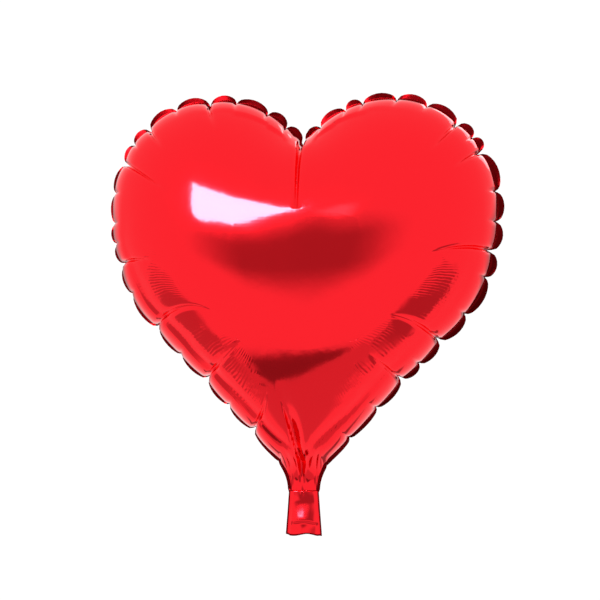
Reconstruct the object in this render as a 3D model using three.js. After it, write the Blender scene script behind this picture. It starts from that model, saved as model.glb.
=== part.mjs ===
// A heart-shaped foil balloon, inflated: two domed film panels welded along a flat seam margin, a short
// open tail below the neck, and a self-sealing valve of two flat film strips that runs through the neck.
// Units are millimetres. The origin is the middle of the neck, where a ribbon is tied. +Z runs up from the
// neck to the notch between the lobes, and the front of the balloon faces -Y.
import * as THREE from "three";
import { ParametricGeometry } from "three/addons/geometries/ParametricGeometry.js";

// ---- driving dimensions ----

// the heart, seen from the front, out to the edge of the seam margin
const LOBE_SPACING = 162; // between the centres of the two lobes
const LOBE_OVERLAP = 42; // how far the two round lobes would reach into each other
const LOBE_HEIGHT = 265; // of the lobe centres above the neck
const SIDE_RADIUS = 150; // of the bulging side below each lobe
const SIDE_HEIGHT = 250; // of that bulge's centre above the neck
const NECK_WIDTH = 30;
const NECK_FLARE_RADIUS = 40; // where the neck opens into the straight lower side
const NOTCH_WIDTH = 16; // of the web that bridges the sharp corner between the lobes
const NOTCH_FILL = 7; // how far that web stands above the corner

// the seam and the films
const SEAM_MARGIN = 5; // welded flat edge outside the inflated part
const NECK_SEAM_MARGIN = 3;
const FOIL_WALL = 0.5; // stand-in for a film about 0.05 thick
const FILM_GAP = 0.3; // between two films that touch
const CROWN_DEPTH = 100; // from the seam plane to the fullest point of a panel
const CROWN_HEIGHT = 195; // of that point above the neck
const NECK_DEPTH = 1.4; // half the gas passage through the flattened neck
const NECK_TAPER = 42; // height over which the flat neck opens into the full panel

// the tail
const TAIL_LENGTH = 41; // from the neck to the open end
const TAIL_END_WIDTH = 37;
const MOUTH_DEPTH = 5; // half the opening of the puffed tail
const MOUTH_TAPER = 11; // length over which the flat neck opens into the tail
const FOLD_CLEARANCE = 3.2; // from the fold line to each piece beside it

// the valve
const VALVE_FILM = 0.35; // stand-in for a much thinner film
const VALVE_SIDE_CLEARANCE = 2; // between the strip and each weld beside it in the neck
const VALVE_WIDENING = 4; // of each side of the strip, once it is clear of the neck
const VALVE_FLARE = 22; // height over which the strip reaches its full width
const VALVE_LENGTH = 88; // of the strip above the fold
const VALVE_ENTRY_LENGTH = 9; // of the strip below the fold
const VALVE_CORNER = 4;

// fineness of the films: stations along one side, across an open end, and from the middle out to the seam
const PANEL_SIDE_STEPS = 44;
const PANEL_END_STEPS = 6;
const PANEL_RINGS = 10;
const TAIL_SIDE_STEPS = 10;
const TAIL_END_STEPS = 10;
const TAIL_RINGS = 5;

const FOIL = { color: 0xd40f1e, roughness: 0.12, metalness: 1 };
const CLEAR_FILM = { color: 0xf3d9da, roughness: 0.35, metalness: 0 };

// ---- helpers ----

/** A mesh of one material under its own name. */
function piece(name, geometry, look) {
  const mesh = new THREE.Mesh(geometry, new THREE.MeshStandardMaterial(look));
  mesh.name = name;
  return mesh;
}

/** Turns a front piece into its back twin: every film is the same left and right. */
function asBack(mesh) {
  mesh.rotation.z = Math.PI;
  return mesh;
}

/** Points spread evenly from one point to another, both ends left out. */
function between(from, to, steps) {
  return Array.from({ length: steps - 1 }, (_, i) => from.clone().lerp(to, (i + 1) / steps));
}

/** A closed ring of points from its right side, listed from bottom to top, mirrored to the left. */
function ringOf(rightSide, endSteps) {
  const leftSide = rightSide.map((p) => new THREE.Vector2(-p.x, p.y)).reverse();
  const top = between(rightSide.at(-1), leftSide[0], endSteps);
  const bottom = between(leftSide.at(-1), rightSide[0], endSteps);
  const openTop = rightSide.at(-1).x > 0;
  return [...rightSide, ...(openTop ? top : []), ...leftSide.slice(openTop ? 0 : 1), ...bottom];
}

/** The distance from a point to a line of points. */
function distanceTo(line, point) {
  const nearest = new THREE.Vector3();
  const at = new THREE.Vector3(point.x, point.y, 0);
  let least = Infinity;
  for (let i = 1; i < line.length; i++) {
    const from = new THREE.Vector3(line[i - 1].x, line[i - 1].y, 0);
    const to = new THREE.Vector3(line[i].x, line[i].y, 0);
    new THREE.Line3(from, to).closestPointToPoint(at, true, nearest);
    least = Math.min(least, nearest.distanceTo(at));
  }
  return least;
}

/**
 * A film with a hollow behind it, as one closed thin shell. Seen from the front it is a ring of stations
 * round a middle point. Its outer face runs from the middle to the seam and on over the flat margin to the
 * edge, and its inner face comes back. Rings crowd towards the seam, where the film turns most.
 */
function film({ middle, seam, inside, edge, outerDepth, innerDepth, rings }) {
  const rows = 2 * rings + 3;
  const atRing = (ring, line, station) => {
    const share = Math.sin((Math.PI / 2) * (ring / rings));
    return middle.clone().lerp(line[station], share);
  };
  const surface = (u, v, target) => {
    const station = Math.round((1 - u) * seam.length) % seam.length;
    const row = Math.round(v * rows);
    if (row <= rings) {
      const p = atRing(row, seam, station);
      return target.set(p.x, -outerDepth(p), p.y);
    }
    if (row >= rings + 3) {
      const p = atRing(rows - row, inside, station);
      return target.set(p.x, -innerDepth(p), p.y);
    }
    const depth = row === rings + 1 ? outerDepth : innerDepth;
    return target.set(edge[station].x, -depth(edge[station]), edge[station].y);
  };
  return new ParametricGeometry(surface, seam.length, rows);
}

// ---- the heart's outline ----

const lobeX = LOBE_SPACING / 2;
const fullLobeRadius = (LOBE_SPACING + LOBE_OVERLAP) / 2;
const sideX = lobeX + fullLobeRadius - SIDE_RADIUS;

/**
 * The right side of the heart from the neck to the notch, set in by a margin: the flare above the neck, the
 * straight lower side, the bulging side, the lobe and the web in the notch. Each runs on from the last.
 */
function heartSide(margin, neckMargin) {
  const flareRadius = NECK_FLARE_RADIUS + margin;
  const flareX = NECK_WIDTH / 2 - neckMargin + flareRadius;
  const sideRadius = SIDE_RADIUS - margin;
  const lobeRadius = fullLobeRadius - margin;
  // the straight side is the line that touches the flare and the bulge
  const across = sideX - flareX;
  const up = SIDE_HEIGHT - FOLD_CLEARANCE;
  const turn = Math.atan2(across, up) + Math.asin((flareRadius + sideRadius) / Math.hypot(across, up));
  const notchTurn = Math.acos((NOTCH_WIDTH / 2 - lobeX) / lobeRadius);
  const notchHeight = LOBE_HEIGHT + Math.sqrt(lobeRadius ** 2 - lobeX ** 2) + NOTCH_FILL;
  const path = new THREE.Path();
  path.absarc(flareX, FOLD_CLEARANCE, flareRadius, Math.PI, Math.PI - turn, true);
  path.absarc(sideX, SIDE_HEIGHT, sideRadius, -turn, 0, false);
  path.absarc(lobeX, LOBE_HEIGHT, lobeRadius, 0, notchTurn, false);
  path.lineTo(0, notchHeight);
  return path.getSpacedPoints(PANEL_SIDE_STEPS);
}

// ---- the two panels ----

const mirrored = (line) => line.map((p) => new THREE.Vector2(-p.x, p.y));
const passageHalfWidth = NECK_WIDTH / 2 - NECK_SEAM_MARGIN;

/**
 * How far a panel stands off the seam plane. It rises with the mean of the distances to the left and the
 * right half of the seam, as a blown-up bag does, rounds over at the crown, and lies flat towards the neck.
 */
function domeOver(seamSide) {
  const left = mirrored(seamSide);
  const meanDistance = (p) => Math.sqrt(distanceTo(seamSide, p) * distanceTo(left, p));
  const crownDistance = meanDistance(new THREE.Vector2(0, CROWN_HEIGHT));
  return (p) => {
    const distance = meanDistance(p);
    const full = CROWN_DEPTH * Math.sin((Math.PI / 2) * (distance / crownDistance));
    const flat = NECK_DEPTH * (distance / passageHalfWidth);
    return THREE.MathUtils.lerp(flat, full, THREE.MathUtils.smoothstep(p.y, FOLD_CLEARANCE, NECK_TAPER));
  };
}

function panel(name) {
  const seamSide = heartSide(SEAM_MARGIN, NECK_SEAM_MARGIN);
  const insideSide = heartSide(SEAM_MARGIN + FOIL_WALL, NECK_SEAM_MARGIN + FOIL_WALL);
  const seam = ringOf(seamSide, PANEL_END_STEPS);
  const inside = ringOf(insideSide, PANEL_END_STEPS);
  const margin = ringOf(heartSide(0, 0), PANEL_END_STEPS);
  const welded = margin.length - (PANEL_END_STEPS - 1);
  const edge = margin.map((p, i) => (i < welded ? p : seam[i]));
  const outerDome = domeOver(seamSide);
  const innerDome = domeOver(insideSide);
  const isWelded = (p) => margin.includes(p);
  const geometry = film({
    middle: new THREE.Vector2(0, CROWN_HEIGHT),
    seam,
    inside,
    edge,
    outerDepth: (p) => FILM_GAP / 2 + FOIL_WALL + (isWelded(p) ? 0 : outerDome(p)),
    innerDepth: (p) => FILM_GAP / 2 + (isWelded(p) ? 0 : innerDome(p)),
    rings: PANEL_RINGS,
  });
  return piece(name, geometry, FOIL);
}

// ---- the tail ----

const tailTop = -FOLD_CLEARANCE;

/** Half the width of the tail at a height, less a margin. */
function tailHalfWidth(height, margin) {
  const share = (tailTop - height) / (TAIL_LENGTH - FOLD_CLEARANCE);
  return THREE.MathUtils.lerp(NECK_WIDTH, TAIL_END_WIDTH, share) / 2 - margin;
}

/** How far a tail sheet stands off the seam plane: flat at the neck, puffed open below. */
function tailBulge(p) {
  const opened = THREE.MathUtils.smoothstep(-p.y, FOLD_CLEARANCE, FOLD_CLEARANCE + MOUTH_TAPER);
  const depth = THREE.MathUtils.lerp(NECK_DEPTH, MOUTH_DEPTH, opened);
  const across = p.x / tailHalfWidth(p.y, NECK_SEAM_MARGIN);
  return depth * Math.max(0, 1 - across ** 2);
}

function tailSide(margin) {
  const bottom = new THREE.Vector2(tailHalfWidth(-TAIL_LENGTH, margin), -TAIL_LENGTH);
  const top = new THREE.Vector2(tailHalfWidth(tailTop, margin), tailTop);
  return [bottom, ...between(bottom, top, TAIL_SIDE_STEPS), top];
}

function tailSheet(name) {
  const seam = ringOf(tailSide(NECK_SEAM_MARGIN), TAIL_END_STEPS);
  const inside = ringOf(tailSide(NECK_SEAM_MARGIN + FOIL_WALL), TAIL_END_STEPS);
  const margin = ringOf(tailSide(0), TAIL_END_STEPS);
  const alongSides = (i) => Math.abs(margin[i].x) >= tailHalfWidth(margin[i].y, 1e-6);
  const edge = margin.map((p, i) => (alongSides(i) ? p : seam[i]));
  const geometry = film({
    middle: new THREE.Vector2(0, (tailTop - TAIL_LENGTH) / 2),
    seam,
    inside,
    edge,
    outerDepth: (p) => FILM_GAP / 2 + FOIL_WALL + tailBulge(p),
    innerDepth: (p) => FILM_GAP / 2 + tailBulge(p),
    rings: TAIL_RINGS,
  });
  return piece(name, geometry, FOIL);
}

// ---- the valve ----

const valveNeckHalf = passageHalfWidth - VALVE_SIDE_CLEARANCE;

/** One flat strip of the valve, extruded and stood upright in front of the seam plane. */
function valveStrip(name, outline) {
  const geometry = new THREE.ExtrudeGeometry(outline, { depth: VALVE_FILM, bevelEnabled: false });
  geometry.rotateX(Math.PI / 2);
  geometry.translate(0, -FILM_GAP / 2, 0);
  return piece(name, geometry, CLEAR_FILM);
}

function valveFilm(name) {
  const neckHalf = valveNeckHalf;
  const innerHalf = neckHalf + VALVE_WIDENING;
  const bottom = FOLD_CLEARANCE;
  const flared = bottom + VALVE_FLARE;
  const top = bottom + VALVE_LENGTH;
  const halfway = (bottom + flared) / 2;
  const outline = new THREE.Shape();
  outline.moveTo(-neckHalf, bottom);
  outline.lineTo(neckHalf, bottom);
  outline.bezierCurveTo(neckHalf, halfway, innerHalf, halfway, innerHalf, flared);
  outline.absarc(innerHalf - VALVE_CORNER, top - VALVE_CORNER, VALVE_CORNER, 0, Math.PI / 2, false);
  outline.absarc(VALVE_CORNER - innerHalf, top - VALVE_CORNER, VALVE_CORNER, Math.PI / 2, Math.PI, false);
  outline.lineTo(-innerHalf, flared);
  outline.bezierCurveTo(-innerHalf, halfway, -neckHalf, halfway, -neckHalf, bottom);
  return valveStrip(name, outline);
}

function valveEntry(name) {
  const outline = new THREE.Shape();
  outline.moveTo(-valveNeckHalf, tailTop - VALVE_ENTRY_LENGTH);
  outline.lineTo(valveNeckHalf, tailTop - VALVE_ENTRY_LENGTH);
  outline.lineTo(valveNeckHalf, tailTop);
  outline.lineTo(-valveNeckHalf, tailTop);
  return valveStrip(name, outline);
}

// ---- the balloon ----

const balloon = new THREE.Group();
balloon.add(panel("front_panel"));
balloon.add(asBack(panel("back_panel")));
balloon.add(tailSheet("tail_front_sheet"));
balloon.add(asBack(tailSheet("tail_back_sheet")));
balloon.add(valveFilm("valve_front_film"));
balloon.add(asBack(valveFilm("valve_back_film")));
balloon.add(valveEntry("valve_front_entry"));
balloon.add(asBack(valveEntry("valve_back_entry")));

export default balloon;
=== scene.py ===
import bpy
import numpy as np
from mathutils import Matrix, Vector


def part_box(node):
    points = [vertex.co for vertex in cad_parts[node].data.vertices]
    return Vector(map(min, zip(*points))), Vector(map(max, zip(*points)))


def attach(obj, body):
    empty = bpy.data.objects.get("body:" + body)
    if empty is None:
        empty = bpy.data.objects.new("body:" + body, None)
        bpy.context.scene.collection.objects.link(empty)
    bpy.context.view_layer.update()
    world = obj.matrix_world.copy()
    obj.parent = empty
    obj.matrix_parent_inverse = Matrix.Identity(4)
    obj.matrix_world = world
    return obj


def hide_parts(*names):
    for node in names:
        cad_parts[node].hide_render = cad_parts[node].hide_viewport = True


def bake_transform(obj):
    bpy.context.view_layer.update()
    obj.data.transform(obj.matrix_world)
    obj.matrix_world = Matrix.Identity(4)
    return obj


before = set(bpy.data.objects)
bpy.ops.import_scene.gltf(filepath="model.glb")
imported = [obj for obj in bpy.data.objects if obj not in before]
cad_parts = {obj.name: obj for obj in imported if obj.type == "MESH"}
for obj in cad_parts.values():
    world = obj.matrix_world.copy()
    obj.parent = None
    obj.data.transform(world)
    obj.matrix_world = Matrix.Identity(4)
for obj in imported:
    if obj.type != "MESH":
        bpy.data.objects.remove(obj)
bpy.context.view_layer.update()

# %% [markdown]
# The object is a heart-shaped foil balloon. It is two sheets of thin film, coated with metal and printed
# red, laid flat on each other and welded round the edge. Gas pushes them apart into two domes. The flat
# film is too long for the rim of the domes, so the extra length gathers there in short creases, and the
# welded margin stands out between them as a row of small petals.
#
# All sizes are in metres. The origin is the middle of the neck, +Z is up and the front faces -Y.

mm = 0.001
CROWN_HEIGHT = 195 * mm


def smoothstep(low, high, x):
    t = np.clip((x - low) / (high - low), 0, 1)
    return t * t * (3 - 2 * t)


def arc(centre_x, centre_z, radius, start, end, steps):
    a = np.radians(np.linspace(start, end, steps))
    return np.stack([centre_x + radius * np.cos(a), centre_z + radius * np.sin(a)], 1)


def running_length(line):
    return np.concatenate([[0], np.cumsum(np.linalg.norm(np.diff(line, axis=0), axis=1))])


# %% [markdown]
# The seam is the line where the two sheets part. One half of it is a chain of arcs: a small flare above
# the neck, a wide arc for the side and a tighter one for the lobe. A straight line joins the flare to the
# side and touches both. The chain is scaled to the width of the modelled front panel, so it always fits.

# %% The outline of the heart
LOBE_RADIUS = 102 * mm
LOBE_X = 81 * mm
LOBE_Z = 265 * mm
SIDE_RADIUS = 150 * mm
SIDE_Z = 250 * mm
FLARE_RADIUS = 40 * mm
NECK_HALF = 15 * mm
NOTCH_HALF = 8 * mm
NOTCH_FILL = 7 * mm
MARGIN = 5 * mm
NECK_MARGIN = 3 * mm

panel_low, panel_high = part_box("front_panel")
fit = (panel_high.x - panel_low.x) / (2 * (LOBE_X + LOBE_RADIUS))


def right_half(inset):
    """The right half of the heart from the neck to the notch, set in from its edge."""
    flare = FLARE_RADIUS + inset
    flare_x = NECK_HALF - NECK_MARGIN + flare
    side, lobe = SIDE_RADIUS - inset, LOBE_RADIUS - inset
    across = LOBE_X + LOBE_RADIUS - SIDE_RADIUS - flare_x
    turn = np.degrees(np.arctan2(across, SIDE_Z) + np.arcsin((flare + side) / np.hypot(across, SIDE_Z)))
    last = np.degrees(np.arccos((NOTCH_HALF - LOBE_X) / lobe))
    notch_z = LOBE_Z + np.sqrt(lobe**2 - LOBE_X**2) + NOTCH_FILL
    return fit * np.vstack([
        arc(flare_x, 0, flare, 180, 180 - turn, 40),
        arc(LOBE_X + LOBE_RADIUS - SIDE_RADIUS, SIDE_Z, side, -turn, 0, 90),
        arc(LOBE_X, LOBE_Z, lobe, 0, last, 200)[1:],
        [[0, notch_z]],
    ])


seam_line = right_half(MARGIN)
seam_length = running_length(seam_line)
print("half seam", round(seam_length[-1], 4))

# %% [markdown]
# A skin held at its rim and pushed up evenly sags like a soap film, and the square root of that sag is
# close to the rounder dome of a full balloon. The sag is solved on a grid of small squares: every point
# inside the seam is moved to the mean of its four neighbours plus a constant, over and over. The valley
# that runs down from the notch comes out of this by itself.

# %% The height of the dome
CELL = 3 * mm
CROWN = 98 * mm
SWEEPS = 500
OVERSHOOT = 1.94
RIM_BAND = 14 * mm

mirror = np.array([-1, 1])
closed_seam = np.vstack([seam_line, seam_line[::-1] * mirror, [[-12 * mm, -30 * mm], [12 * mm, -30 * mm]]])
grid_x = np.arange(-198 * mm, 198 * mm, CELL)
grid_z = np.arange(-9 * mm, 375 * mm, CELL)
X, Z = np.meshgrid(grid_x, grid_z, indexing="ij")


def inside(loop, x, z):
    hit = np.zeros(x.shape, bool)
    for (x1, z1), (x2, z2) in zip(loop, np.roll(loop, -1, axis=0)):
        if z1 != z2:
            crosses = (z1 > z) != (z2 > z)
            hit ^= crosses & (x < (x2 - x1) * (z - z1) / (z2 - z1) + x1)
    return hit


within = inside(closed_seam, X, Z)
even = np.add.outer(np.arange(len(grid_x)), np.arange(len(grid_z))) % 2 == 0
sag = np.zeros(X.shape)
for sweep in range(SWEEPS):
    for colour in (even, ~even):
        target = np.zeros_like(sag)
        target[1:-1, 1:-1] = (sag[2:, 1:-1] + sag[:-2, 1:-1] + sag[1:-1, 2:] + sag[1:-1, :-2] + 1) / 4
        moved = within & colour
        sag[moved] += OVERSHOOT * (target[moved] - sag[moved])
sag /= sag.max()


def sag_at(points):
    fx, fz = (points[..., 0] - grid_x[0]) / CELL, (points[..., 1] - grid_z[0]) / CELL
    i = np.clip(fx.astype(int), 0, len(grid_x) - 2)
    j = np.clip(fz.astype(int), 0, len(grid_z) - 2)
    a, b = fx - i, fz - j
    low = sag[i, j] * (1 - a) + sag[i + 1, j] * a
    high = sag[i, j + 1] * (1 - a) + sag[i + 1, j + 1] * a
    return np.clip(low * (1 - b) + high * b, 0, None)


print("crown at", round(float(Z[np.unravel_index(sag.argmax(), sag.shape)]), 3))

# %% [markdown]
# The extra film at the rim gathers in creases. Each entry below is the distance along the seam from the
# crease before it and how far the crease reaches in over the dome. The lists run up from the neck to the
# notch. Long creases and short ones follow each other without a pattern, as they do on a real balloon.

# %% Where the creases are
RIGHT_CREASES = [
    (26, 18), (34, 22), (38, 20), (35, 36), (22, 16), (28, 48), (34, 20), (39, 24), (25, 54), (28, 18),
    (28, 22), (39, 30), (16, 14), (19, 36), (33, 20), (29, 20), (32, 16), (17, 26), (28, 22), (20, 0),
]
LEFT_CREASES = [
    (30, 18), (37, 42), (32, 22), (31, 52), (33, 26), (33, 62), (39, 22), (29, 36), (20, 14), (19, 24),
    (28, 20), (29, 54), (20, 14), (20, 28), (31, 20), (32, 28), (25, 16), (31, 20), (21, 14), (20, 0),
]
PETAL_STEPS = 11
NECK_COLUMNS = 16


def stations(creases):
    """Places along one side of the seam: the length from the neck, the petal and the share across it."""
    ends = np.concatenate([[0], np.cumsum([gap for gap, reach in creases])])
    ends = ends / ends[-1] * seam_length[-1]
    even_share = np.arange(PETAL_STEPS) / PETAL_STEPS
    share = 0.3 * even_share + 0.7 * (0.5 - 0.5 * np.cos(np.pi * even_share))
    petal = np.repeat(np.arange(len(creases)), PETAL_STEPS)
    across = np.tile(share, len(creases))
    length = ends[petal] + across * np.diff(ends)[petal]
    last_petal = len(creases) - 1
    return np.append(length, ends[-1]), np.append(petal, last_petal), np.append(across, 1.0), np.diff(ends)


right_at, right_petal, right_across, right_gap = stations(RIGHT_CREASES)
left_at, left_petal, left_across, left_gap = stations(LEFT_CREASES)


def along_seam(length):
    return np.stack([np.interp(length, seam_length, seam_line[:, axis]) for axis in (0, 1)], 1)


neck_x = np.linspace(seam_line[0, 0] * -1, seam_line[0, 0], NECK_COLUMNS + 1)[1:-1]
loop = np.vstack([
    along_seam(right_at),
    along_seam(left_at[::-1][1:]) * mirror,
    np.stack([neck_x, np.zeros(NECK_COLUMNS - 1)], 1),
])
n_right, n_left, n_neck = len(right_at), len(left_at) - 1, NECK_COLUMNS - 1
N = len(loop)
print("stations round the seam", N)

# %% [markdown]
# The sheet's net of points has spokes that start on the seam and run in towards the middle, where a square
# patch takes over. A spoke starts exactly on every crease, so a crease stays sharp with few points.
# Spokes crowd towards creases and rings crowd towards the seam, where the film turns most.

# %% The net of the sheet
RINGS = 34
PATCH_HALF = 62 * mm
RING_CROWDING = 1.5
SPOKE_LEAVE = 58 * mm

quarter = N // 4
centre = np.array([0, CROWN_HEIGHT])
first = n_right - 1 - quarter - quarter // 2
order = (np.arange(N) + first) % N
rim = loop[order]
corners = np.array([[1, -1], [1, 1], [-1, 1], [-1, -1], [1, -1]]) * PATCH_HALF
step = np.linspace(0, 1, quarter, endpoint=False)[:, None]
patch_edge = np.vstack([corners[k] * (1 - step) + corners[k + 1] * step for k in range(4)])
radius = np.linalg.norm(patch_edge, axis=1)[:, None]
patch_edge = patch_edge * (0.5 + 0.5 * PATCH_HALF / radius) + centre
along_rim = np.roll(loop, -1, axis=0) - np.roll(loop, 1, axis=0)
along_rim /= np.linalg.norm(along_rim, axis=1)[:, None]
rim_out = np.stack([along_rim[:, 1], -along_rim[:, 0]], 1)
rim_out[n_right - 1] = [0, 1]
leave = SPOKE_LEAVE * smoothstep(0, 0.16, (seam_line[-1, 1] - loop[:, 1]) + 0.6 * np.abs(loop[:, 0]))
leave = np.minimum(leave, 0.7 * np.abs(loop[:, 0]) + 14 * mm)
leave[n_right + n_left:] = 20 * mm
above_neck = smoothstep(0, 75 * mm, loop[:, 1])[:, None]
spoke_out = rim_out * above_neck + np.array([0, -1]) * (1 - above_neck)
spoke_out /= np.linalg.norm(spoke_out, axis=1)[:, None]
bend = (loop - spoke_out * leave[:, None])[order]
share = (np.linspace(0, 1, RINGS + 1) ** RING_CROWDING)[:, None, None]
ring_points = rim * (1 - share) ** 2 + 2 * bend * share * (1 - share) + patch_edge * share**2
ring_ids = np.arange((RINGS + 1) * N).reshape(RINGS + 1, N)

q = quarter
patch_ids = np.zeros((q + 1, q + 1), int)
inner = ring_ids[RINGS]
patch_ids[q, :] = inner[np.arange(0, q + 1) % N]
patch_ids[:, q] = inner[(q + np.arange(q, -1, -1)) % N]
patch_ids[0, :] = inner[(2 * q + np.arange(q, -1, -1)) % N]
patch_ids[:, 0] = inner[(3 * q + np.arange(0, q + 1)) % N]
patch_ids[1:q, 1:q] = ring_ids.size + np.arange((q - 1) ** 2).reshape(q - 1, q - 1)
flat_ring = ring_points.reshape(-1, 2)
bottom, top = flat_ring[patch_ids[:, 0]], flat_ring[patch_ids[:, q]]
left, right = flat_ring[patch_ids[0, :]], flat_ring[patch_ids[q, :]]
U, V = np.meshgrid(np.linspace(0, 1, q + 1), np.linspace(0, 1, q + 1), indexing="ij")
U, V = U[..., None], V[..., None]
patch_points = (
    (1 - V) * bottom[:, None] + V * top[:, None] + (1 - U) * left[None] + U * right[None]
    - (1 - U) * (1 - V) * bottom[0] - U * (1 - V) * bottom[-1] - (1 - U) * V * top[0] - U * V * top[-1]
)
plan = np.vstack([flat_ring, patch_points[1:q, 1:q].reshape(-1, 2)])


def quads(ids, closed=False):
    right_of = np.roll(ids, -1, axis=1) if closed else ids[:, 1:]
    here = ids if closed else ids[:, :-1]
    return np.stack([here[:-1], right_of[:-1], right_of[1:], here[1:]], -1).reshape(-1, 4)


faces = np.vstack([quads(ring_ids, closed=True), quads(patch_ids)[:, ::-1]])
print("points in one dome", len(plan))

# %% [markdown]
# Now the dome is raised over the net. Close to the seam the grid of squares is too coarse, so the sag there
# falls in a straight line along each spoke. The neck is squeezed nearly flat, where a ribbon ties it.

# %% Raise the dome
NECK_DEPTH = 3.2 * mm
NECK_TAPER = 46 * mm

steps = np.linalg.norm(np.diff(ring_points, axis=0), axis=2)
run_in = np.vstack([np.zeros(N), np.cumsum(steps, axis=0)])
band_sag = sag_at(rim - rim_out[order] * RIM_BAND)
near_rim = (run_in < RIM_BAND) & (order < n_right + n_left)[None]
straight = np.where(near_rim, band_sag[None] * run_in / RIM_BAND, sag_at(ring_points))
trusted = smoothstep(40 * mm, 80 * mm, ring_points[..., 1])
ring_sag = straight * trusted + sag_at(ring_points) * (1 - trusted)
all_sag = np.concatenate([ring_sag.ravel(), sag_at(plan[ring_ids.size:])])
height = CROWN * np.sqrt(all_sag)
at_neck = smoothstep(0, NECK_TAPER, plan[:, 1])
flat_neck = NECK_DEPTH * np.sqrt(np.clip(1 - (plan[:, 0] / seam_line[0, 0]) ** 2, 0, 1))
height = flat_neck * (1 - at_neck) + height * at_neck
seam_ids = ring_ids[0]
position_in_ring = np.empty(N, int)
position_in_ring[order] = np.arange(N)
neck_ring = seam_ids[position_in_ring[np.arange(n_right + n_left, N)]]
side_ring = seam_ids[position_in_ring[np.arange(n_right + n_left)]]
height[side_ring] = 0


def point_normals(points, quads_):
    a, b, c, d = (points[quads_[:, k]] for k in range(4))
    face = np.cross(c - a, d - b)
    total = np.zeros_like(points)
    for k in range(4):
        np.add.at(total, quads_[:, k], face)
    return total / np.maximum(np.linalg.norm(total, axis=1), 1e-12)[:, None]


dome = np.stack([plan[:, 0], -height, plan[:, 1]], 1)
outward = point_normals(dome, faces)
outward *= np.sign((outward * (dome - [0, 40 * mm, CROWN_HEIGHT])).sum(1))[:, None]
outward[side_ring] = np.insert(rim_out[: n_right + n_left], 1, 0, axis=1)
print("dome depth", round(height.max(), 4))

# %% [markdown]
# A crease pulls the film in along its spoke. It is deepest at the seam and dies out inwards, and it is also
# narrower there. Between two creases the film stays out as a small pillow, which is what makes the edge of
# the heart scalloped. The two sheets share the seam, so they share each crease's depth at the rim, but how
# far a crease reaches differs from front to back.

# %% Creases
LONG_REACH = 26 * mm
LONG_DEPTH = 3.6 * mm
SHORT_DEPTH = 0.9 * mm
LONG_WIDTH = 9 * mm
SHORT_WIDTH = 4 * mm
LONG_FOLD = 4.2 * mm
SHORT_FOLD = 1.5 * mm
FOLD_WIDTH = 1.5 * mm
BAND_WIDTH = 18 * mm
BAND_PILLOW = 1.3 * mm
NOTCH_DEPTH = 3.5 * mm
NOTCH_REACH = 95 * mm
PILLOW = 0.6 * mm

crease_rng = np.random.default_rng(21)
side_of = np.concatenate([np.ones(n_right), -np.ones(n_left), np.zeros(n_neck)]).astype(int)
petal_of = np.concatenate([right_petal, left_petal[::-1][1:], np.zeros(n_neck, int)])
across_of = np.concatenate([right_across, left_across[::-1][1:], np.zeros(n_neck)])
length_of = np.concatenate([right_at, left_at[::-1][1:], np.zeros(n_neck)])
notch_station = n_right - 1


def crease_values(creases, gaps, reach_scale):
    """Depth at the rim, reach and width of the creases that bound each petal, neck and notch included."""
    own = np.random.default_rng(len(creases))
    reach = np.array([0] + [r for gap, r in creases[:-1]] + [0]) * mm
    long = reach > LONG_REACH
    varied = own.uniform(0.75, 1.25, len(reach))
    depth = np.where(long, LONG_DEPTH, SHORT_DEPTH) * varied
    depth[0], depth[-1] = 0, NOTCH_DEPTH
    width = np.where(long, LONG_WIDTH, SHORT_WIDTH) * own.uniform(0.8, 1.2, len(reach))
    reach = np.clip(np.where(long, reach * 1.1, 11 * mm) * reach_scale, 8 * mm, 75 * mm)
    reach[-1] = NOTCH_REACH
    return depth, width, reach


def creased(reach_scales):
    """How far each ring point is drawn in, for one sheet."""
    pulled = np.zeros((RINGS + 1, N))
    for side, creases, gaps in ((1, RIGHT_CREASES, right_gap), (-1, LEFT_CREASES, left_gap)):
        depth, width, reach = crease_values(creases, gaps, reach_scales[side])
        own = np.where(side_of == side)[0]
        own = own if side == 1 else np.append(own, notch_station)
        petal = np.where(own == notch_station, len(creases) - 1, petal_of[own])
        across = np.where(own == notch_station, 1.0, across_of[own])
        at = position_in_ring[own]
        for edge in (0, 1):
            index = petal + edge
            away = np.abs(across - edge) * gaps[petal]
            fade = np.clip(1 - run_in[:, at] / reach[index], 0, 1)
            fade = fade**1.1
            facet = depth[index] * fade**1.5 * np.exp(-away / (width[index] * (0.5 + 0.5 * fade)))
            deep = np.where(reach[index] > LONG_REACH, LONG_FOLD, SHORT_FOLD)
            fold = deep * fade**0.7 * np.exp(-((away / FOLD_WIDTH) ** 2))
            pull = facet + np.where(depth[index] > 0, fold, 0)
            shared = np.where((own == notch_station) & (edge == 1), 0.5, 1.0)
            pulled[:, at] += pull * shared
        near_rim = np.clip(1 - run_in[:, at] / (34 * mm), 0, 1)
        pulled[:, at] -= PILLOW * np.sin(np.pi * across) * near_rim**2
        low_side = 1 - smoothstep(170 * mm, 290 * mm, ring_points[:, at, 1])
        band = np.sin(np.pi * np.clip(run_in[:, at] / BAND_WIDTH, 0, 1))
        pulled[:, at] -= BAND_PILLOW * band * low_side
    return pulled


front_scale = {1: 1.0, -1: 1.0}
back_scale = {1: crease_rng.uniform(0.6, 1.5, len(RIGHT_CREASES) + 1),
              -1: crease_rng.uniform(0.6, 1.5, len(LEFT_CREASES) + 1)}
neck_fade = smoothstep(6 * mm, 50 * mm, ring_points[..., 1])
print("creases", len(RIGHT_CREASES) + len(LEFT_CREASES) - 2)


# %% [markdown]
# Low down the film has most to spare, and it gathers into a soft roll along each side. A valley parts the
# roll from the rest of the dome. The two valleys meet above the neck, and a deep fold runs up from there.

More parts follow.
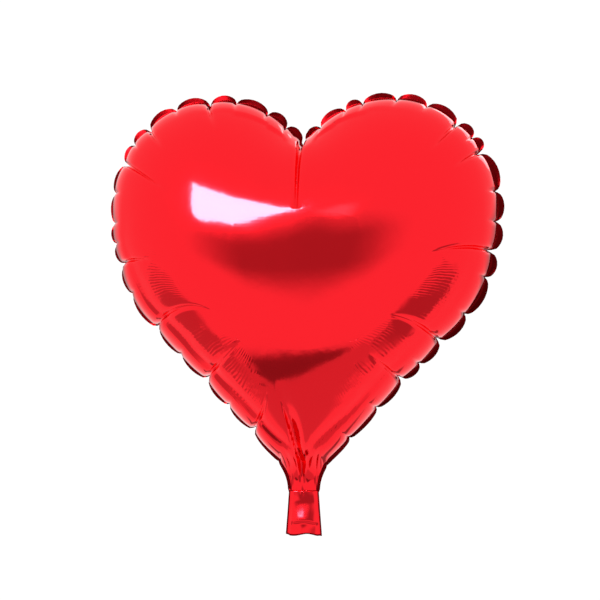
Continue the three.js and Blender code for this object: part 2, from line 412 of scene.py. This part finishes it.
# %% Rolls and the neck fold
ROLL_WIDTH = 18 * mm
ROLL_VALLEY = 2.6 * mm
ROLL_TOP_LEFT = 310 * mm
ROLL_TOP_RIGHT = 160 * mm
NECK_FOLD_DEPTH = 9 * mm
NECK_FOLD_TOP = 108 * mm


def distance_to_seam(points):
    x, z = np.abs(points[:, 0])[:, None], points[:, 1][:, None]
    start, along = seam_line[:-1], np.diff(seam_line, axis=0)
    t = ((x - start[:, 0]) * along[:, 0] + (z - start[:, 1]) * along[:, 1]) / (along**2).sum(1)
    t = np.clip(t, 0, 1)
    return np.hypot(x - start[:, 0] - t * along[:, 0], z - start[:, 1] - t * along[:, 1]).min(1)


from_seam = distance_to_seam(plan)
print("furthest from the seam", round(from_seam.max(), 4))


def dome_with(pulled):
    points = dome.copy()
    shift = np.zeros(len(points))
    shift[: ring_ids.size] = (pulled * neck_fade).ravel()
    points = points - outward * shift[:, None]
    x, z = plan.T
    wobble = 1.2 * mm * np.sin(z / (9 * mm) + 2 * np.sign(x))
    beyond = from_seam - ROLL_WIDTH - wobble
    beyond_width = np.where(beyond < 0, 2.2 * mm, 5 * mm)
    roll_top = np.where(x < 0, ROLL_TOP_LEFT, ROLL_TOP_RIGHT)
    valley = ROLL_VALLEY * np.exp(-((beyond / beyond_width) ** 2)) * (1 - smoothstep(60 * mm, roll_top, z))
    points[:, 1] += valley * smoothstep(8 * mm, 24 * mm, z)
    risen = np.clip((z - 20 * mm) / (NECK_FOLD_TOP - 20 * mm), 0, 1)
    from_fold = x + 2 * mm + 18 * mm * risen**1.4
    fold_width = np.where(from_fold < 0, 1.8 * mm, 3 * mm + 10 * mm * risen)
    fold = np.exp(-((from_fold / fold_width) ** 2)) * (1 - smoothstep(50 * mm, NECK_FOLD_TOP, z))
    points[:, 1] += np.minimum(NECK_FOLD_DEPTH, 0.6 * height) * fold
    gathers = 0.35 * mm * np.sin(x / (1.9 * mm) + z / (4 * mm)) * np.exp(-((z / (12 * mm)) ** 2))
    points[:, 1] += gathers * np.clip(height / (3 * mm), 0, 1)
    return points


# %% [markdown]
# The welded margin runs on beyond the seam. It is flat and stiff, so at each crease it buckles: the petals
# between creases lean a little forwards or backwards and overlap their neighbours. The tail below the neck
# carries on from the same points: two flat sheets welded at the sides and open at the bottom.

# %% Margin and tail
MARGIN_ROWS = 3
TAIL_ROWS = 30
TAIL_LENGTH = 41 * mm
TAIL_END_HALF = 18.5 * mm
TAIL_TWIST = 0.14
TAIL_SOFTNESS = 0.1
PETAL_LEAN = 1.6 * mm
PETAL_ROUNDING = 0.8
SIDE_PETAL = 6.4 * mm
LOW_PETAL = 3.6 * mm
FOLDED_PETAL = 2.8 * mm
WELD_GAP = 0.12 * mm

lean_rng = np.random.default_rng(5)
right_lean = lean_rng.uniform(-1, 1, len(RIGHT_CREASES))
left_lean = lean_rng.uniform(-0.4, 1.4, len(LEFT_CREASES))
lean_of = np.where(side_of == 1, right_lean[np.minimum(petal_of, len(RIGHT_CREASES) - 1)],
                   left_lean[np.minimum(petal_of, len(LEFT_CREASES) - 1)])
twist_of = (across_of - 0.5) * 2


def petal_reach():
    """How far the margin stands out at each place along the seam."""
    x, z = loop[: n_right + n_left].T
    full = LOW_PETAL + (SIDE_PETAL - LOW_PETAL) * smoothstep(60 * mm, 190 * mm, z)
    folded_back = FOLDED_PETAL * smoothstep(0, 60 * mm, -x) * (1 - smoothstep(290 * mm, 350 * mm, z))
    full = full - folded_back * smoothstep(60 * mm, 190 * mm, z)
    return NECK_MARGIN + (full - NECK_MARGIN) * smoothstep(0, 30 * mm, z)


def build_sheet(front, pulled):
    """Points, faces and material coordinates of one whole sheet, tail included."""
    y = 1 if front else -1
    points = dome_with(pulled)
    points[:, 1] = np.minimum(points[:, 1], 0) - WELD_GAP
    stations_ = np.arange(n_right + n_left)
    seam_points = points[side_ring]
    width = petal_reach()
    round_end = np.clip(np.sin(np.pi * across_of[stations_]), 0, 1) ** 0.55
    dip = 1 + PETAL_ROUNDING * smoothstep(20 * mm, 90 * mm, loop[stations_, 1]) * (round_end - 1)
    wave = PETAL_LEAN * (0.55 * lean_of[stations_] + 0.8 * twist_of[stations_] * np.abs(twist_of[stations_]))
    wave = wave * smoothstep(10 * mm, 60 * mm, loop[stations_, 1])
    rows = []
    for k in range(1, MARGIN_ROWS + 1):
        share = k / MARGIN_ROWS
        out = seam_points.copy()
        out[:, 0] += rim_out[stations_, 0] * width * dip * share
        out[:, 2] += rim_out[stations_, 1] * width * dip * share
        out[:, 1] += y * wave * share**1.3
        rows.append(out)
    margin_points = np.vstack(rows)
    base = len(points)
    margin_ids = np.vstack([side_ring[None], base + np.arange(len(margin_points)).reshape(MARGIN_ROWS, -1)])
    # the neck row from the left edge of the margin to the right one
    left_edge = [margin_ids[k, -1] for k in range(MARGIN_ROWS, 0, -1)]
    right_edge = [margin_ids[k, 0] for k in range(1, MARGIN_ROWS + 1)]
    neck_ids = np.array(left_edge + [side_ring[-1]] + list(neck_ring) + [side_ring[0]] + right_edge)
    points = np.vstack([points, margin_points])
    top_row = points[neck_ids]
    tail = tail_points(top_row, y)
    tail_ids = np.vstack([neck_ids[None], len(points) + np.arange(len(tail)).reshape(TAIL_ROWS, -1)])
    points = np.vstack([points, tail])
    all_faces = np.vstack([faces, quads(margin_ids)[:, ::-1], quads(tail_ids)])
    run = np.zeros(len(points))
    run[: ring_ids.size] = run_in.ravel()
    run[ring_ids.size: len(plan)] = 0.2
    along = np.zeros(len(points))
    along[: ring_ids.size] = np.tile((length_of * np.where(side_of < 0, -1, 1))[order], RINGS + 1)
    if not front:
        points = points * [1, -1, 1]
        all_faces = all_faces[:, ::-1]
    band = np.zeros(len(all_faces), int)
    band[len(faces): len(faces) + MARGIN_ROWS * (n_right + n_left - 1)] = 1
    # The tail's welded sides and its open hem row get the darkened band material. At the sides it is partly
    # painted shade; at the hem, which is not welded, it is only painted shade.
    tail_band = band[-TAIL_ROWS * (len(neck_ids) - 1):].reshape(TAIL_ROWS, -1)
    tail_band[:, :MARGIN_ROWS - 1] = 1
    tail_band[:, 1 - MARGIN_ROWS:] = 1
    tail_band[-1] = 1
    return points, all_faces, np.stack([along, run], 1), band


def tail_points(top_row, side):
    """Rows of the tail below the neck row: flat at the neck, puffed open and rumpled at the end."""
    columns = len(top_row)
    share = np.linspace(0, 1, TAIL_ROWS + 1)[1:, None]
    down = -TAIL_LENGTH * share
    scale = 1 + (TAIL_END_HALF / NECK_HALF - 1) * share
    x = top_row[None, :, 0] * scale
    inner = 1 - np.clip(np.abs(x) / (scale * (NECK_HALF - NECK_MARGIN)), 0, 1) ** 2
    opened = (share - 0.25) / 0.43
    opened = 0.5 + 0.5 * (np.hypot(opened, TAIL_SOFTNESS) - np.hypot(opened - 1, TAIL_SOFTNESS))
    puff = (NECK_DEPTH + 5 * mm * opened) * inner**0.35
    fold = 2.2 * mm * smoothstep(0.69, 0.76, share + 0.06 * (inner - 0.5)) * np.sqrt(inner)
    rumple = 0.5 * mm * smoothstep(0.7, 0.85, share) * np.sin(x / (2.3 * mm) + 6 * share) * inner
    twist = -TAIL_TWIST * x * smoothstep(0, 0.5, share) * side
    y = -WELD_GAP - puff + fold + rumple + twist
    joined = smoothstep(0, 0.22, share)
    y = top_row[None, :, 1] * (1 - joined) + y * joined
    hem = 1.2 * mm * share**6 * np.sin(x / (4.6 * mm) + 0.8)
    z = down + hem
    return np.stack([x, y, np.broadcast_to(z, x.shape)], 2).reshape(-1, 3)


front_points, front_faces, front_uv, front_band = build_sheet(True, creased(front_scale))
back_points, back_faces, back_uv, back_band = build_sheet(False, creased(back_scale))


def mesh_object(name, points, quads_, uv):
    mesh = bpy.data.meshes.new(name)
    mesh.from_pydata(points.tolist(), [], quads_.tolist())
    layer = mesh.uv_layers.new(name="film")
    corner = np.zeros(len(mesh.loops), int)
    mesh.loops.foreach_get("vertex_index", corner)
    layer.data.foreach_set("uv", uv[corner].astype(np.float32).ravel())
    mesh.polygons.foreach_set("use_smooth", np.ones(len(mesh.polygons), bool))
    mesh.update()
    made = bpy.data.objects.new(name, mesh)
    bpy.context.scene.collection.objects.link(made)
    return made


foil_front = mesh_object("foil_front", front_points, front_faces, front_uv)
foil_back = mesh_object("foil_back", back_points, back_faces, back_uv)
print("front sheet", front_points.min(0).round(4), front_points.max(0).round(4))

# %% [markdown]
# The film is aluminium under a clear red layer, so it mirrors its surroundings and tints them red. It is
# not a perfect mirror: fine ribs run across the seam where the film was gathered, and the whole film has a
# faint crinkle that bends the reflections.

# %% Foil material
FOIL_RED = (0.93, 0.009, 0.018, 1)


def new_material(name):
    material = bpy.data.materials.new(name)
    material.use_nodes = True
    nodes, links = material.node_tree.nodes, material.node_tree.links
    return material, nodes, links, nodes["Principled BSDF"]


def ramp(nodes, links, value, low, high):
    """A smooth rise from 0 at low to 1 at high."""
    made = nodes.new("ShaderNodeMapRange")
    made.interpolation_type = "SMOOTHSTEP"
    made.inputs["From Min"].default_value = low
    made.inputs["From Max"].default_value = high
    links.new(value, made.inputs["Value"])
    return made.outputs["Result"]


def times(nodes, links, *values):
    product = values[0]
    for value in values[1:]:
        made = nodes.new("ShaderNodeMath")
        made.operation = "MULTIPLY"
        links.new(product, made.inputs[0])
        links.new(value, made.inputs[1])
        product = made.outputs[0]
    return product


RIB_SPACING = 3.6 * mm
RIB_HEIGHT = 0.09 * mm
RUMPLE_HEIGHT = 0.35 * mm


def foil_material(name):
    material, nodes, links, shader = new_material(name)
    shader.inputs["Base Color"].default_value = FOIL_RED
    shader.inputs["Metallic"].default_value = 1
    shader.inputs["Specular Tint"].default_value = (1, 0.5, 0.52, 1)
    shader.inputs["Coat Weight"].default_value = 0.45
    shader.inputs["Coat IOR"].default_value = 1.3
    shader.inputs["Coat Roughness"].default_value = 0.05
    place = nodes.new("ShaderNodeTexCoord")
    crinkle = nodes.new("ShaderNodeTexNoise")
    crinkle.inputs["Scale"].default_value = 42
    crinkle.inputs["Detail"].default_value = 3
    crinkle.inputs["Roughness"].default_value = 0.45
    links.new(place.outputs["Object"], crinkle.inputs["Vector"])
    film_place = nodes.new("ShaderNodeUVMap")
    film_place.uv_map = "film"
    split = nodes.new("ShaderNodeSeparateXYZ")
    links.new(film_place.outputs["UV"], split.inputs["Vector"])
    ribs = nodes.new("ShaderNodeTexWave")
    ribs.inputs["Scale"].default_value = 2 * np.pi / (20 * RIB_SPACING)
    ribs.inputs["Distortion"].default_value = 9
    ribs.inputs["Detail"].default_value = 3
    ribs.inputs["Detail Scale"].default_value = 0.35
    links.new(film_place.outputs["UV"], ribs.inputs["Vector"])
    along = nodes.new("ShaderNodeMath")
    along.operation = "ABSOLUTE"
    links.new(split.outputs["X"], along.inputs[0])
    patches = nodes.new("ShaderNodeTexNoise")
    patches.inputs["Scale"].default_value = 28
    patches.inputs["Detail"].default_value = 2
    links.new(place.outputs["Object"], patches.inputs["Vector"])
    mask = times(
        nodes, links,
        ramp(nodes, links, patches.outputs["Fac"], 0.38, 0.58),
        ramp(nodes, links, split.outputs["Y"], 15 * mm, 21 * mm),
        ramp(nodes, links, split.outputs["Y"], 58 * mm, 46 * mm),
        ramp(nodes, links, along.outputs[0], 40 * mm, 90 * mm),
        ramp(nodes, links, along.outputs[0], 330 * mm, 270 * mm),
    )
    rib_bump = nodes.new("ShaderNodeBump")
    rib_bump.inputs["Distance"].default_value = RIB_HEIGHT
    links.new(times(nodes, links, ribs.outputs["Fac"], mask), rib_bump.inputs["Height"])
    rumple = nodes.new("ShaderNodeTexNoise")
    rumple.inputs["Scale"].default_value = 110
    rumple.inputs["Detail"].default_value = 2
    links.new(place.outputs["Object"], rumple.inputs["Vector"])
    rumple_bump = nodes.new("ShaderNodeBump")
    rumple_bump.inputs["Distance"].default_value = RUMPLE_HEIGHT
    links.new(times(nodes, links, rumple.outputs["Fac"], mask), rumple_bump.inputs["Height"])
    links.new(rumple_bump.outputs["Normal"], rib_bump.inputs["Normal"])
    bump = nodes.new("ShaderNodeBump")
    bump.inputs["Strength"].default_value = 0.25
    bump.inputs["Distance"].default_value = 0.6 * mm
    links.new(crinkle.outputs["Fac"], bump.inputs["Height"])
    links.new(rib_bump.outputs["Normal"], bump.inputs["Normal"])
    links.new(bump.outputs["Normal"], shader.inputs["Normal"])
    links.new(bump.outputs["Normal"], shader.inputs["Coat Normal"])
    spread = nodes.new("ShaderNodeMapRange")
    spread.inputs["To Min"].default_value = 0.05
    spread.inputs["To Max"].default_value = 0.13
    links.new(crinkle.outputs["Fac"], spread.inputs["Value"])
    links.new(spread.outputs["Result"], shader.inputs["Roughness"])
    return material


GRAIN_SCALE = 260
GRAIN_HEIGHT = 0.04 * mm


def band_material_with_painted_shade(name):
    """The welded edge: duller than the dome, with the fine grain that the hot press leaves. Its darker colour
    is partly the pressed finish and partly painted shade of the seam between the sheets.
    """
    material, nodes, links, shader = new_material(name)
    # Painted shade: the base colour and edge tint are made dark to stand for the shade in the seam, on top of
    # the duller pressed foil.
    shader.inputs["Base Color"].default_value = (0.11, 0.001, 0.002, 1)
    shader.inputs["Metallic"].default_value = 1
    shader.inputs["Specular Tint"].default_value = (0.5, 0.04, 0.05, 1)
    place = nodes.new("ShaderNodeTexCoord")
    grain = nodes.new("ShaderNodeTexNoise")
    grain.inputs["Scale"].default_value = GRAIN_SCALE
    grain.inputs["Detail"].default_value = 2
    links.new(place.outputs["Object"], grain.inputs["Vector"])
    dull = nodes.new("ShaderNodeMapRange")
    dull.inputs["To Min"].default_value = 0.24
    dull.inputs["To Max"].default_value = 0.36
    links.new(grain.outputs["Fac"], dull.inputs["Value"])
    links.new(dull.outputs["Result"], shader.inputs["Roughness"])
    press = nodes.new("ShaderNodeBump")
    press.inputs["Distance"].default_value = GRAIN_HEIGHT
    links.new(grain.outputs["Fac"], press.inputs["Height"])
    links.new(press.outputs["Normal"], shader.inputs["Normal"])
    return material


foil = foil_material("red_foil")
band = band_material_with_painted_shade("welded_band_painted_shade")
# The margin faces take the darkened band material, whose dark colour is partly painted shade.
for sheet, on_band in ((foil_front, front_band), (foil_back, back_band)):
    sheet.data.materials.append(foil)
    sheet.data.materials.append(band)
    sheet.data.polygons.foreach_set("material_index", on_band.astype(np.int32))
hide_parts("front_panel", "tail_front_sheet")
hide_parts("back_panel", "tail_back_sheet")
for sheet in (foil_front, foil_back):
    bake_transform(sheet)

# %% [markdown]
# The valve is two thin clear films that lie on each other inside the neck. Gas blown in through the tail
# parts them, and the gas inside presses them together again. Each is a strip that widens above the neck,
# and a short length of it stands below the fold, where the tail turns. The strips have faint ripples.

# %% The valve films
FILM_ROWS, FILM_COLUMNS = 40, 12
FILM_RIPPLE = 0.05 * mm
FILM_FLARE = 22 * mm


def film_strip(name, node, body):
    low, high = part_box(node)
    z = np.linspace(low.z, high.z, FILM_ROWS + 1)[:, None]
    u = np.linspace(-1, 1, FILM_COLUMNS + 1)[None]
    neck_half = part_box("valve_front_entry")[1].x
    half = neck_half + (high.x - neck_half) * smoothstep(0, FILM_FLARE, z - low.z)
    round_off = np.clip((z - (high.z - 4 * mm)) / (4 * mm), 0, 1)
    half = half - 2 * mm * round_off**2 * (high.z > 0)
    x = half * u
    y = (low.y + high.y) / 2 + FILM_RIPPLE * np.sin(z / (5 * mm) + 1.5 * u)
    points = np.stack([x, np.broadcast_to(y, x.shape), np.broadcast_to(z, x.shape)], 2).reshape(-1, 3)
    ids = np.arange(len(points)).reshape(FILM_ROWS + 1, FILM_COLUMNS + 1)
    made = mesh_object(name, points, quads(ids), points[:, [0, 2]])
    made.data.materials.append(clear_film)
    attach(made, body)
    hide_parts(node)
    return made


clear_film, film_nodes, film_links, film_shader = new_material("clear_film")
film_shader.inputs["Base Color"].default_value = (0.93, 0.82, 0.83, 1)
film_shader.inputs["Roughness"].default_value = 0.3
film_shader.inputs["Alpha"].default_value = 0.55
film_noise = film_nodes.new("ShaderNodeTexNoise")
film_noise.inputs["Scale"].default_value = 300
film_bump = film_nodes.new("ShaderNodeBump")
film_bump.inputs["Distance"].default_value = 0.1 * mm
film_links.new(film_noise.outputs["Fac"], film_bump.inputs["Height"])
film_links.new(film_bump.outputs["Normal"], film_shader.inputs["Normal"])
for side in ("front", "back"):
    film = film_strip(f"film_{side}", f"valve_{side}_film", f"valve_{side}")
    entry = film_strip(f"entry_{side}", f"valve_{side}_entry", "tail")

# %% [markdown]
# Film can't stretch, so the flat heart that each sheet was cut from is larger than the full balloon. It
# draws in to about four fifths of its width as the gas fills it.

# %% [markdown]
# Foil shows what stands round it, so the studio is what gives it its look. The surroundings are white. A
# softbox up on the left makes the highlight, and soft grey cards make the dark bands in the red. Each card
# stands about 3 m away and out of the camera's sight, and its edges fade to nothing.

# %% Studio
scene = bpy.context.scene
scene.view_settings.view_transform = "Standard"
world = bpy.data.worlds.new("studio")
scene.world = world
world.use_nodes = True
world.node_tree.nodes["Background"].inputs["Color"].default_value = (1, 1, 1, 1)
world.node_tree.nodes["Background"].inputs["Strength"].default_value = 1.05


def direction_to(azimuth, elevation):
    """The unit vector at an angle round from -Y towards +X and an angle above the horizon, in degrees."""
    a, e = np.radians(azimuth), np.radians(elevation)
    return np.stack([np.sin(a) * np.cos(e), -np.cos(a) * np.cos(e), np.sin(e)], -1)


CARD_DISTANCE = 3.0
CARD_STEPS = 12
FLOOR_HALF = 4
FLOOR_DEPTH = 1.1


def card(name, along, low, high, strength, soft_side, soft_edge, away=CARD_DISTANCE):
    """A curved card that faces the balloon from a distance, with soft edges. It is out of the camera's sight.

    along is a list of angles round the balloon, and low and high are the card's edges at those angles.
    """
    azimuth = np.linspace(along[0], along[-1], 4 * CARD_STEPS + 1)
    low_edge, high_edge = np.interp(azimuth, along, low), np.interp(azimuth, along, high)
    up = np.linspace(0, 1, CARD_STEPS + 1)[:, None]
    elevation = low_edge * (1 - up) + high_edge * up
    points = direction_to(np.broadcast_to(azimuth, elevation.shape), elevation) * away
    points = points.reshape(-1, 3) + [0, 0, CROWN_HEIGHT]
    ids = np.arange(len(points)).reshape(elevation.shape)
    across = np.broadcast_to((azimuth - azimuth[0]) / (azimuth[-1] - azimuth[0]), elevation.shape)
    place = np.stack([across.ravel(), np.broadcast_to(up, elevation.shape).ravel()], 1)
    made = mesh_object(name, points, quads(ids), place)
    material = bpy.data.materials.new(name)
    material.use_nodes = True
    nodes, links = material.node_tree.nodes, material.node_tree.links
    nodes.clear()
    place_node = nodes.new("ShaderNodeUVMap")
    place_node.uv_map = "film"
    split = nodes.new("ShaderNodeSeparateXYZ")
    links.new(place_node.outputs["UV"], split.inputs["Vector"])
    masks = []
    for axis, soft in (("X", soft_side), ("Y", soft_edge)):
        for from_low, from_high in ((0, soft), (1, 1 - soft)):
            masks.append(ramp(nodes, links, split.outputs[axis], from_low, from_high))
    glow = nodes.new("ShaderNodeEmission")
    glow.inputs["Strength"].default_value = strength
    clear = nodes.new("ShaderNodeBsdfTransparent")
    mix = nodes.new("ShaderNodeMixShader")
    surface = nodes.new("ShaderNodeOutputMaterial")
    links.new(times(nodes, links, *masks), mix.inputs["Fac"])
    links.new(clear.outputs[0], mix.inputs[1])
    links.new(glow.outputs[0], mix.inputs[2])
    links.new(mix.outputs[0], surface.inputs["Surface"])
    made.data.materials.append(material)
    made.visible_camera = False
    return made


card("softbox", [-42, -38, -22, -4], [16, 13, 17, 33], [34, 33, 34, 35], 48, 0.03, 0.09)
card("front_dark", [-50, -38, -25, -8, 0, 8, 25, 40], [-4, -9, -14, -18, -20, -18, -13, -4],
     [8, 13, 17, 27, 36, 29, 22, 14], 0.42, 0.3, 0.36)
card("low_dark", [-52, -28, 12, 38], [-47, -54, -46, -42], [-42, -38, -38, -41], 0.26, 0.1, 0.22)
card("side_glow", [-2, 6, 14], [27, 24, 22], [34, 33, 30], 3.0, 0.4, 0.4)
card("right_dark", [50, 66, 78, 88], [-44, -50, -50, -44], [-26, -13, -12, -24], 0.46, 0.2, 0.25)
card("left_grey", [-100, -84, -62], [-50, -50, -46], [-26, -14, -18], 0.6, 0.15, 0.25)
card("ground", [-84, 72], [-89, -89], [-37, -37], 0.74, 0.12, 0.1, away=3.4)
card("rear_softbox", [138, 146, 158, 168], [20, 15, 17, 22], [33, 35, 36, 34], 3.5, 0.06, 0.1)
card("rear_dark", [122, 145, 180, 215, 238], [-8, -16, -20, -16, -8], [6, 11, 22, 12, 6], 0.45, 0.3, 0.36)
card("rear_low_dark", [128, 150, 180, 210, 232], [-46, -52, -54, -50, -44],
     [-41, -39, -38, -38, -41], 0.34, 0.1, 0.22)
card("overhead", [-180, 180], [42, 42], [89, 89], 1.8, 0.0, 0.35)

floor_corners = np.array([[-1, -1], [1, -1], [1, 1], [-1, 1]]) * float(FLOOR_HALF)
floor = mesh_object(
    "floor", np.column_stack([floor_corners, np.full(4, -FLOOR_DEPTH)]),
    np.array([[0, 1, 2, 3]]), np.array([[0, 0], [1, 0], [1, 1], [0, 1]], float))
paper, _, _, paper_shader = new_material("paper")
paper_shader.inputs["Base Color"].default_value = (0.9, 0.9, 0.9, 1)
paper_shader.inputs["Roughness"].default_value = 0.9
paper_shader.inputs["Emission Color"].default_value = (1, 1, 1, 1)
paper_shader.inputs["Emission Strength"].default_value = 0.2
floor.data.materials.append(paper)
floor.visible_glossy = False

# %% [markdown]
# The camera looks straight at the front, a few degrees from the right, with a long lens so that the dome
# isn't pushed out of shape.

# %% Camera
FRAME_WIDTH = 558 * mm
LENS, SENSOR = 85, 36
CAMERA_TURN = 4.5
distance = FRAME_WIDTH * LENS / SENSOR
turn = np.radians(CAMERA_TURN)
aim = (-3.7 * mm, 0, 176.7 * mm)
camera = bpy.data.objects.new("camera", bpy.data.cameras.new("camera"))
scene.collection.objects.link(camera)
camera.data.lens, camera.data.sensor_width = LENS, SENSOR
camera.location = (aim[0] + distance * np.sin(turn), aim[1] - distance * np.cos(turn), aim[2])
camera.rotation_euler = (np.pi / 2, 0, turn)
scene.camera = camera
